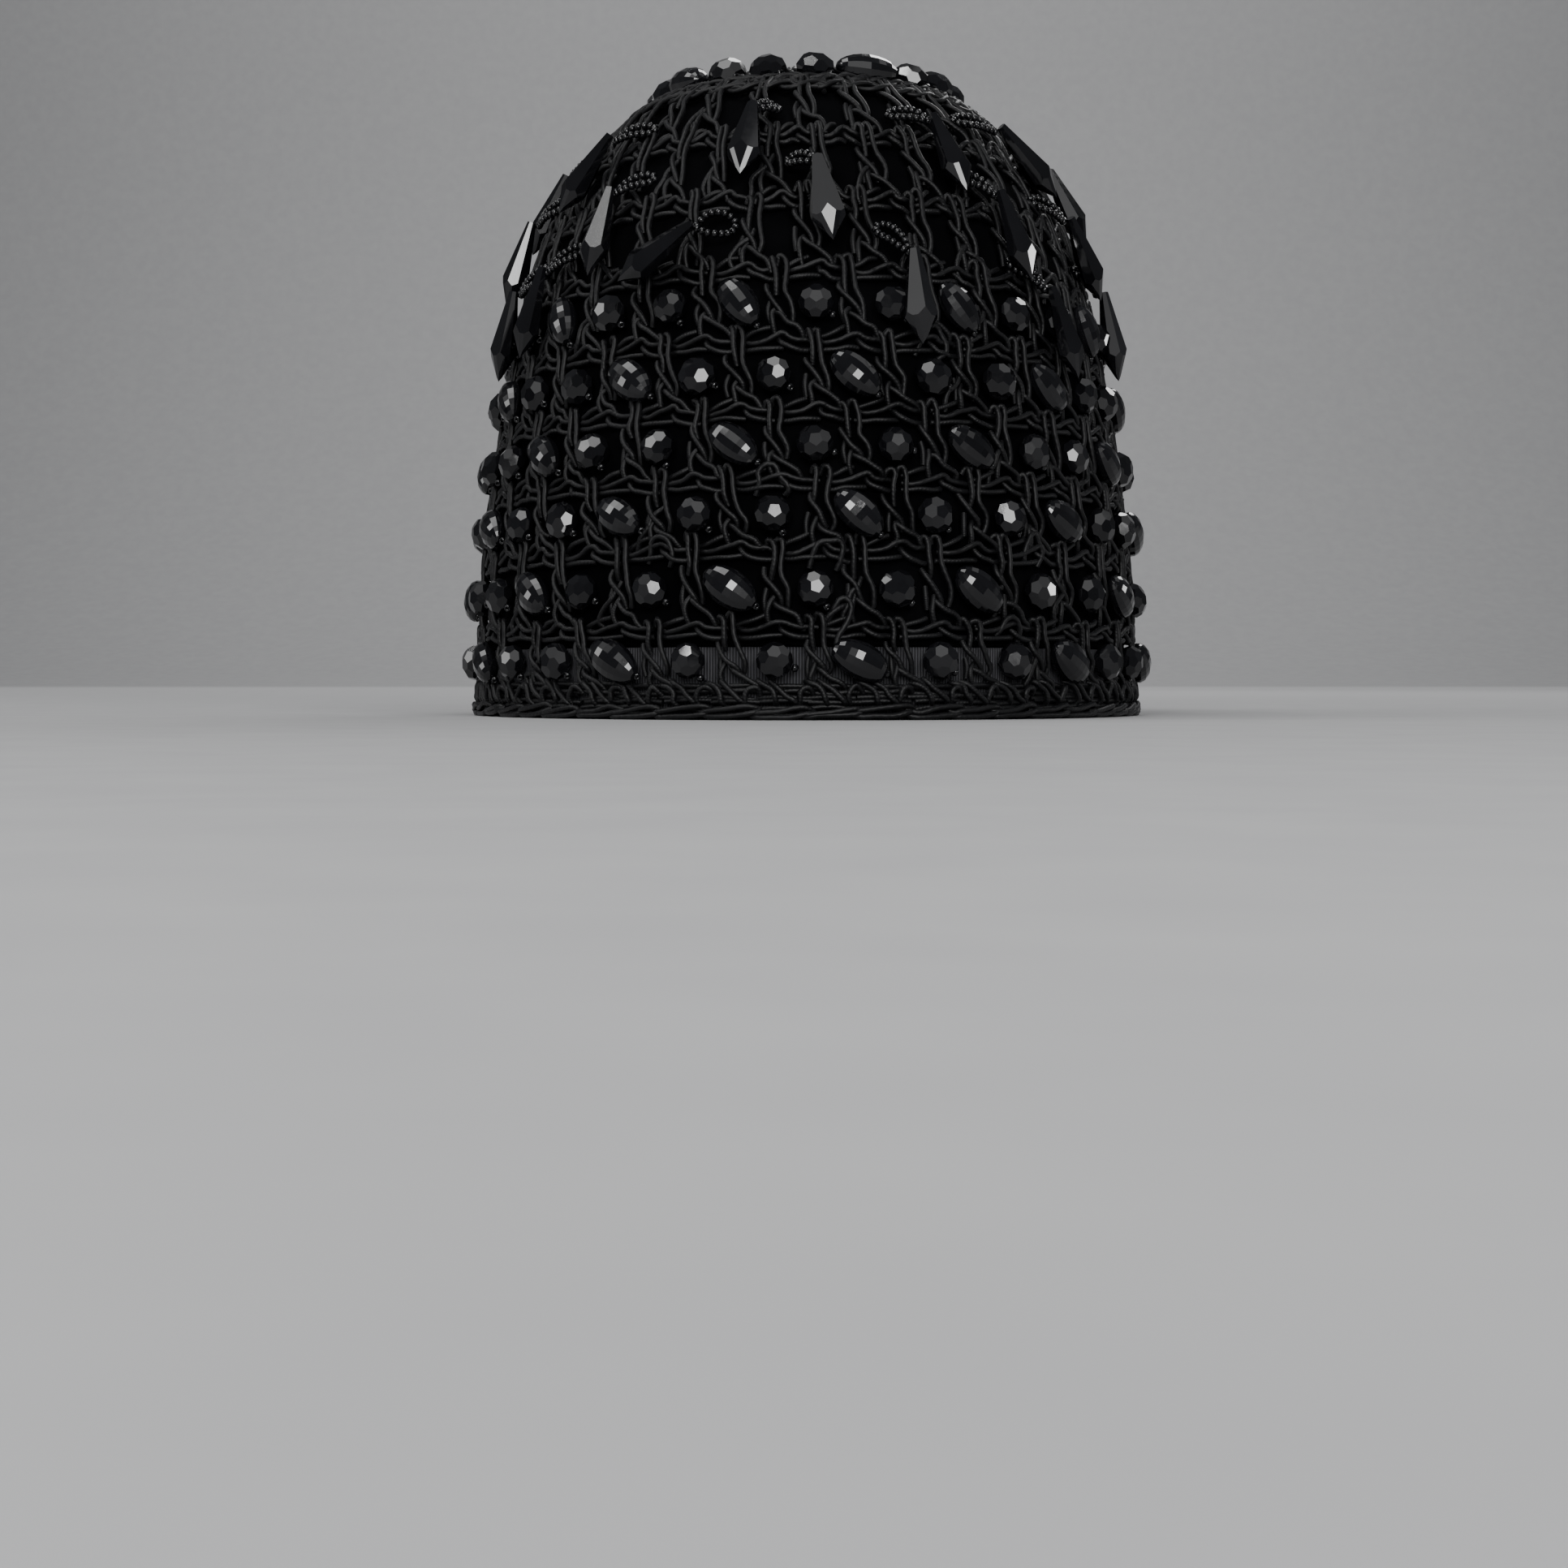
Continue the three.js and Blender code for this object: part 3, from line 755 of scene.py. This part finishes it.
oval = oval_stone()
round_stone = cut_stone(ROUND_SIZE, round_planes())
seed_stone = seed_bead()

bead_rng = random.Random(11)
window_seeds = []
for name, count, first, slope in BEAD_ROWS:
    under, over = next(row[1:3] for row in ROUNDS if row[0] == name)
    level = (level_at(under) + level_at(over)) / 2
    crest = name == "top"
    ovals, rounds = [], []
    for k in range(count):
        grown = Matrix.Scale((TOP_GROWN if crest else 1) * bead_rng.uniform(0.95, 1.05), 4)
        degrees = first + 360 / count * k
        if crest:
            degrees = first + TOP_SET_TURN * (k // TOP_SET) + TOP_GAPS.get(k % TOP_SET, 0)
        if k % (TOP_SET if crest else 3) == 0:
            tilt = slope + bead_rng.gauss(0, 4.5)
            ovals.append(seat(degrees, level, BEAD_BACK + OVAL_SIZE[2], tilt) @ grown)
            end = SEED_AT_OVAL
        else:
            degrees += bead_rng.gauss(0, 0.35)
            tilt = 40 + bead_rng.gauss(0, 14)
            roll = bead_rng.uniform(0, 360)
            rounds.append(
                seat(degrees, level, BEAD_BACK + ROUND_SIZE[2], tilt, roll)
                @ Matrix.Rotation(bead_rng.gauss(0, 0.1), 4, "X")
                @ grown
            )
            end = SEED_AT_ROUND
        window_seeds.append(
            seat(degrees, level, BEAD_BACK + SEED_OUT, tilt)
            @ Matrix.Translation((end, 0, 0))
            @ Matrix.Rotation(math.radians(bead_rng.uniform(50, 90)), 4, "Y")
        )
    stones = [copies("ovals", oval, ovals), copies("rounds", round_stone, rounds)]
    beads = join(f"jet_beads_{name}", stones)
    show(f"jet_beads_{name}", beads, jet.material, "jet", f"beads_{name}")
    thread = [(6 * step, level, THREAD_OUT) for step in range(61)]
    thread_curve = crochet(f"thread_{name}", [thread], THREAD_RADIUS)
    show(f"thread_{name}", thread_curve, velvet.material, "velvet", f"beads_{name}")
seed_mesh = copies("window_seeds", seed_stone, window_seeds, smooth=True)
show("window_seeds", seed_mesh, jet.material, "jet")


# Drops
# Long drops of black cut glass hang in three staggered tiers. Six flats widen from a narrow
# neck to the shoulder, a zigzag of six lozenges turns under it, and six more flats run
# together in a short point. The neck is drilled across for the loop.

DROP_LENGTH = 0.0225
DROP_WIDTH = 0.0082
DROP_THICKNESS = 0.0060
SHOULDER = 0.72
NECK = 0.36
# A third of the block that a drop is cut from
BLOCK = (0.01, 0.01, 0.02)
# Each drop: its angle and height at the neck, the degrees that its tip sways further round, how
# far the tip stands off, and how far to the right and up its loop is sewn on. Lengths are in
# millimetres.
DROPS = [
    (-46, 139, -9, 0, 9, 5),
    (-11, 142, -0.5, 0, 5, 4),
    (27, 140.5, 2.5, 0, -9, 5),
    (48, 141.5, 13, 0, -10, 6),
    (86, 139, -3, 0, -9, 6),
    (122, 138, 4, 4, 8, 7),
    (158, 138.6, -5, 0, 8, 5),
    (194, 138.5, 2, 4.5, -7, 6),
    (229, 139, 6, 0, -9, 5),
    (268, 139.5, -2, 0, 9, 6),
    (-75, 124, -3, 0, 10, 6),
    (-38, 124, -1, 0, 9, 5),
    (1.8, 127.5, 2.5, 0, -7, 3),
    (37, 123, 3.5, 0, -8, 7),
    (61, 121.6, 9, 0, -9, 6),
    (104, 124, 2, 0, -9, 6),
    (140, 123, -4, 0, 9, 5),
    (175, 125, 3, 0, -8, 6),
    (212, 123.5, -6, 0, 9, 5),
    (247, 124.5, 1, 0, 8, 7),
    (-67.5, 105, -1, 0, 12, 5),
    (-53, 108, -4, 0, 10, 5),
    (-18, 112, -14, 0, 8, 2),
    (17, 106, 0.5, 0, -7, 8),
    (45, 101.5, 5, 0, -9, 7),
    (73.5, 106, 1, 0, -9, 6),
    (115, 105, 1, 0, -8, 6),
    (151, 107, -2, 0, 8, 6),
    (187, 104, -1, 0, 8, 7),
    (224, 105, 3, 0, -8, 6),
    (259, 106, -3, 0, 9, 6),
]


def drop_stone():
    """A drop along +Z from its neck at the origin; +Y is its face."""
    shoulder = SHOULDER * DROP_LENGTH
    point = DROP_LENGTH - shoulder
    planes = [((0, 0, -1), 0)]
    # Each ring of flats: the share of a turn it starts at, the height and the share of the full
    # section where its facets touch, and how much of the section they lose on the way to the tip
    for offset, height, reach, loss in [
        (0.5, shoulder, 0.93, -(1 - NECK) / shoulder),
        (0, shoulder, 0.95, 0.86 / point),
        (0.5, shoulder + point * 0.62, 0.40, 1.0 / point),
    ]:
        for k in range(6):
            turn = math.tau * (k + offset) / 6
            x, y = math.sin(turn), math.cos(turn)
            span = math.hypot(x * DROP_WIDTH, y * DROP_THICKNESS) / 2
            normal = Vector((x, y, loss * span))
            planes.append((normal, (span * reach + loss * span * height) / normal.length))
    bm = cut_stone(BLOCK, planes)
    bmesh.ops.translate(bm, vec=(0, DROP_THICKNESS / 2, 0), verts=bm.verts)
    return bm


def unit(vector):
    return vector / np.linalg.norm(vector)


def drop_seat(at, top, sway, lift):
    """The place of a drop: its neck, and its directions across, out and down."""
    upper = level_at(top)
    levels = np.linspace(0, upper, 4000)
    head_on_net = place(at, upper, 0)[0][0]
    reach = np.linalg.norm(place(at + sway, levels, 0)[0] - head_on_net, axis=1)
    lower = levels[np.argmin(np.abs(reach - DROP_LENGTH))]
    chord = (head_on_net + place(at + sway, lower, 0)[0][0]) / 2
    middle, _, _, outward = (v[0] for v in place(at + sway / 2, (upper + lower) / 2, 0))
    bulge = float(np.dot(middle - chord, outward))
    head, _, _, head_out = (v[0] for v in place(at, upper, FIT if lift else 2 * bulge + FIT))
    foot, _, _, foot_out = (v[0] for v in place(at + sway, lower, lift or FIT))
    down = unit(foot - head)
    side = unit(np.cross(head_out + foot_out, down))
    out = np.cross(down, side)
    return head, side, out, down


drop = drop_stone()
drop_rng = random.Random(3)
drop_seats = []
for number, (at, top, sway, lift, _, _) in enumerate(DROPS, 1):
    head, side, out, down = drop_seat(at, top / 1000, sway, lift / 1000)
    matrix = set_down(side, out, down, head)
    drop_seats.append(matrix)
    name = f"cut_drop_{number:02d}"
    middle = Matrix.Translation((0, DROP_THICKNESS / 2, 0))
    roll = Matrix.Rotation(math.radians(drop_rng.uniform(-9, 9)), 4, "Z")
    turned = matrix @ middle @ roll @ middle.inverted()
    show(name, copies(name, drop, [turned]), jet.material, "jet", f"drop_{number:02d}")


# Loops of seed beads
# Each drop hangs from its own loop of black seed beads, 2 mm across. The loop leaves the net
# beside and above the drop, and both its strands meet at the drop's neck.

SEED_STEP = 0.00150
FEWEST_SEEDS = 6
# Where the loop goes through the neck, measured in the drop's own directions
LOOP_HOLE = (0, 0.0012, 0.0006)
# How far out its middle rises, and where its other end goes through the net
LOOP_RISE = 0.0012
LOOP_END_OUT = -0.0004
# Half the width of a loop. That of the drop that lies askew in front hangs wide open.
GAPS = (0.0011, 0.0016)
OPEN_LOOP = 23
OPEN_GAP = 0.0028


def loop_path(corners):
    """Points along a smooth curve through the corners."""
    data = bpy.data.curves.new("path", "CURVE")
    smooth_spline(data, corners)
    data.dimensions = "3D"
    data.resolution_u = 24
    path_object = bpy.data.objects.new("path", data)
    path_mesh = path_object.to_mesh()
    path = np.array([vert.co for vert in path_mesh.vertices])
    path_object.to_mesh_clear()
    bpy.data.objects.remove(path_object)
    bpy.data.curves.remove(data)
    return path


def strung(path):
    """The places of the seed beads that fill a path."""
    run = np.concatenate([[0], np.cumsum(np.linalg.norm(np.diff(path, axis=0), axis=1))])
    beads = max(FEWEST_SEEDS, round(run[-1] / SEED_STEP))
    stops = (np.arange(beads) + 0.5) / beads * run[-1]
    centres, ahead, behind = (
        np.stack([np.interp(stops + step, run, path[:, i]) for i in range(3)], -1)
        for step in (0, 2e-4, -2e-4)
    )
    return [
        Matrix.Translation(centre)
        @ Vector(direction).to_track_quat("Z", "Y").to_matrix().to_4x4()
        for centre, direction in zip(centres, ahead - behind)
    ]


seed_rng = random.Random(5)
for number, (matrix, (at, top, _, _, right, rise)) in enumerate(zip(drop_seats, DROPS), 1):
    upper = level_at(top / 1000)
    neck = np.array(matrix @ Vector(LOOP_HOLE))
    _, along, up, outward = (v[0] for v in place(at, upper, 0))
    gap = OPEN_GAP if number == OPEN_LOOP else seed_rng.uniform(*GAPS)
    across = np.cross(outward, unit(along * right + up * rise))
    anchor_degrees = at + math.degrees(right / 1000 / np.linalg.norm(neck[:2]))
    anchor = place(anchor_degrees, upper + rise / 1000 / SLANT, LOOP_END_OUT)[0][0]
    middle = (neck + anchor) / 2 + outward * LOOP_RISE
    corners = [
        neck,
        middle + across * gap,
        anchor + across * gap * 0.5,
        anchor - across * gap * 0.5,
        middle - across * gap,
        neck,
    ]
    name = f"seed_loop_{number:02d}"
    loop_mesh = copies(name, seed_stone, strung(loop_path(corners)), smooth=True)
    show(name, loop_mesh, jet.material, "jet")


# Floor and light
# A plain pale paper sweep. Two bright windows by the camera give the facets their crisp white
# spots, wide dim panels in front and at the sides lift the cords, small lamps and a strip add
# single glints, and lights from behind set the outline off and fill the sweep.

paper = Finish("paper", Roughness=0.9, Specular_IOR_Level=0.1)
paper_grain = paper.fibres(400)
paper.link(
    paper.ramp(paper_grain.outputs["Slow"], (0.325, 0.325, 0.330), (0.345, 0.345, 0.348)),
    paper.shader.inputs["Base Color"],
)
paper.bump(paper_grain.outputs["Fine"], 0.05, 0.0002)

SWEEP_WIDTH = 12
BEND_START = 3.0
BEND_RADIUS = 1.2

sweep = bmesh.new()
sweep_line = [(-4, 0), (-0.5, 0), (0.5, 0)]
for degrees in range(0, 91, 10):
    turn = math.radians(degrees)
    sweep_line.append(
        (BEND_START + BEND_RADIUS * math.sin(turn), BEND_RADIUS - BEND_RADIUS * math.cos(turn))
    )
sweep_line.append((BEND_START + BEND_RADIUS, 5))
sweep_side = [sweep.verts.new((-SWEEP_WIDTH / 2, y, z)) for y, z in sweep_line]
sweep_edges = [sweep.edges.new(pair) for pair in zip(sweep_side, sweep_side[1:])]
pulled = bmesh.ops.extrude_edge_only(sweep, edges=sweep_edges)["geom"]
pulled = [part for part in pulled if isinstance(part, bmesh.types.BMVert)]
bmesh.ops.translate(sweep, vec=(SWEEP_WIDTH, 0, 0), verts=pulled)
bmesh.ops.recalc_face_normals(sweep, faces=sweep.faces)
for face in sweep.faces:
    face.smooth = True
floor_mesh = bpy.data.meshes.new("paper_sweep")
sweep.to_mesh(floor_mesh)
sweep.free()
floor_mesh.materials.append(paper.material)
floor = bpy.data.objects.new("paper_sweep", floor_mesh)
bpy.context.scene.collection.objects.link(floor)


def soft_light(name, power, size, location, target=(0, 0, 0.09)):
    """A square studio light that faces its target."""
    data = bpy.data.lights.new(name, "AREA")
    data.shape = "RECTANGLE"
    data.size, data.size_y = size
    data.energy = power
    light = bpy.data.objects.new(name, data)
    light.location = location
    facing = Vector(target) - Vector(location)
    light.rotation_euler = facing.to_track_quat("-Z", "Y").to_euler()
    bpy.context.scene.collection.objects.link(light)


soft_light("overhead_softbox", 11, (1.1, 0.8), (-0.62, -0.30, 1.6), (0, 0, 0.08))
soft_light("key_window_left", 5, (0.26, 0.34), (-0.24, -1.25, 0.42))
soft_light("key_window_right", 6.4, (0.58, 0.28), (0.33, -1.25, 0.36))
soft_light("front_fill", 3, (1.2, 0.9), (0.1, -1.7, 0.55))
soft_light("upper_fill", 6, (1.5, 0.9), (0, -1.5, 1.6))
soft_light("left_panel", 1.8, (0.9, 0.9), (-1.2, -0.15, 1.2))
soft_light("right_panel", 1.5, (0.9, 0.9), (0.95, 0.0, 1.4))
soft_light("glint_light", 2.5, (0.07, 0.07), (0.50, -0.95, 0.80))
soft_light("strip_light", 0.3, (0.005, 0.4), (-0.39, -0.52, 0.93), (0, 0, 0.1))
soft_light("side_light", 3, (0.3, 0.6), (-1.1, -0.2, 0.5))
soft_light("right_glint", 0.8, (0.12, 0.12), (1.03, 0.14, 0.19), (0.05, -0.07, 0.1))
soft_light("rim_light", 6, (0.8, 0.4), (0.5, 1.0, 1.0), (0, 0, 0.12))
soft_light("sweep_light", 70, (2.0, 0.8), (0, 1.6, 2.2), (0, 3.6, 0.5))

world = bpy.data.worlds.new("studio")
bpy.context.scene.world = world
world.use_nodes = True
background = world.node_tree.nodes["Background"]
background.inputs["Color"].default_value = (0.9, 0.93, 1.0, 1)
background.inputs["Strength"].default_value = 0.12

# The camera stands just above the floor, 0.64 m in front of the middle of the hat, and looks a
# little down, which puts the hat high in the frame
camera_data = bpy.data.cameras.new("camera")
camera_data.sensor_width = 36
camera_data.lens = 55.56
camera_data.clip_start = 0.005
camera = bpy.data.objects.new("camera", camera_data)
camera.location = (0, -0.640, 0.009)
camera.rotation_euler = (math.radians(90 - 2.46), 0, math.radians(0.52))
bpy.context.scene.collection.objects.link(camera)
bpy.context.scene.camera = camera
